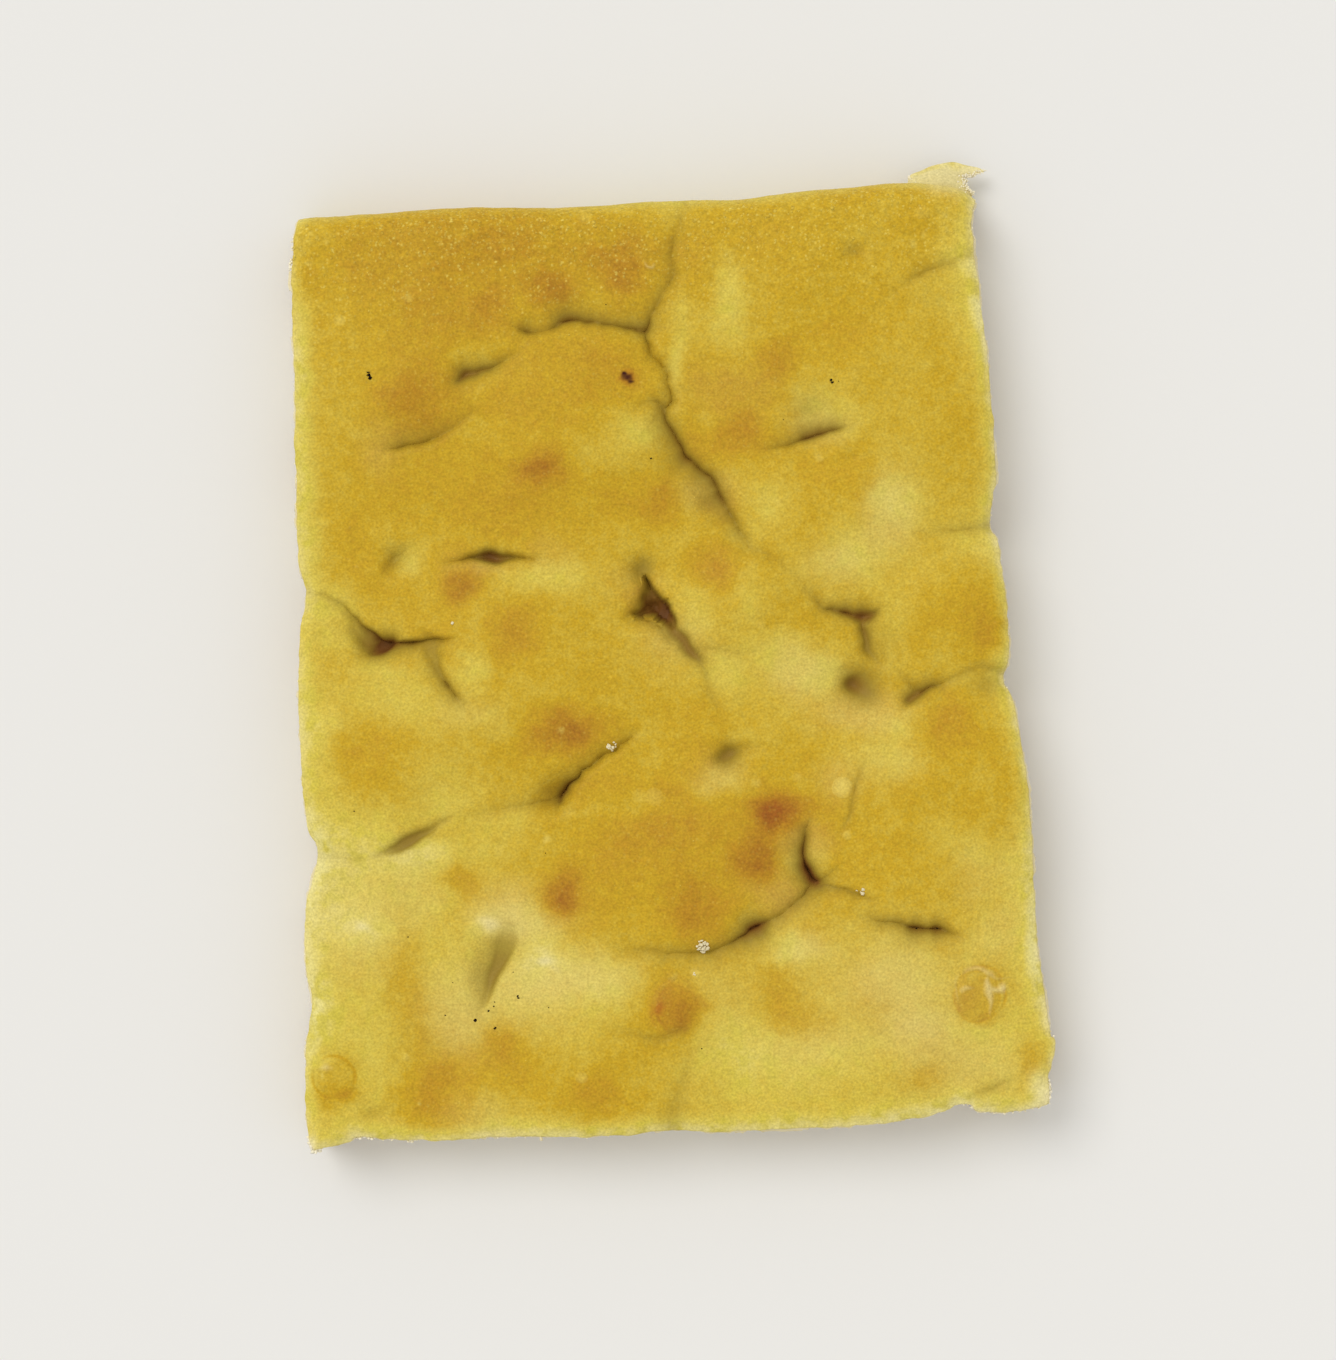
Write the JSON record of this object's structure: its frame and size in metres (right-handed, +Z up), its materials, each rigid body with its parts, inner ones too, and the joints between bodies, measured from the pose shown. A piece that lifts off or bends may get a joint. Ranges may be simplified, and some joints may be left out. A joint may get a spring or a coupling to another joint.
{
  "type": "focaccia slab",
  "caption": "Cut rectangular slab of plain flat bread with a dimpled golden crust, three cut sides and one baked rim edge.",
  "frame": {"origin": "centre of the slab's outline, on the flat base it rests on", "axes": "+Z up out of the crust, +Y along the longer side towards the edge baked against the tray's rim"},
  "size_m": [0.1644, 0.2132, 0.0214],
  "materials": {
    "crust": "baked oiled crust, satin",
    "crumb": "open bread crumb, matt",
    "base_crust": "tray-baked underside, matt"
  },
  "bodies": {
    "root": {"focaccia": "crust"}
  },
  "joints": []
}
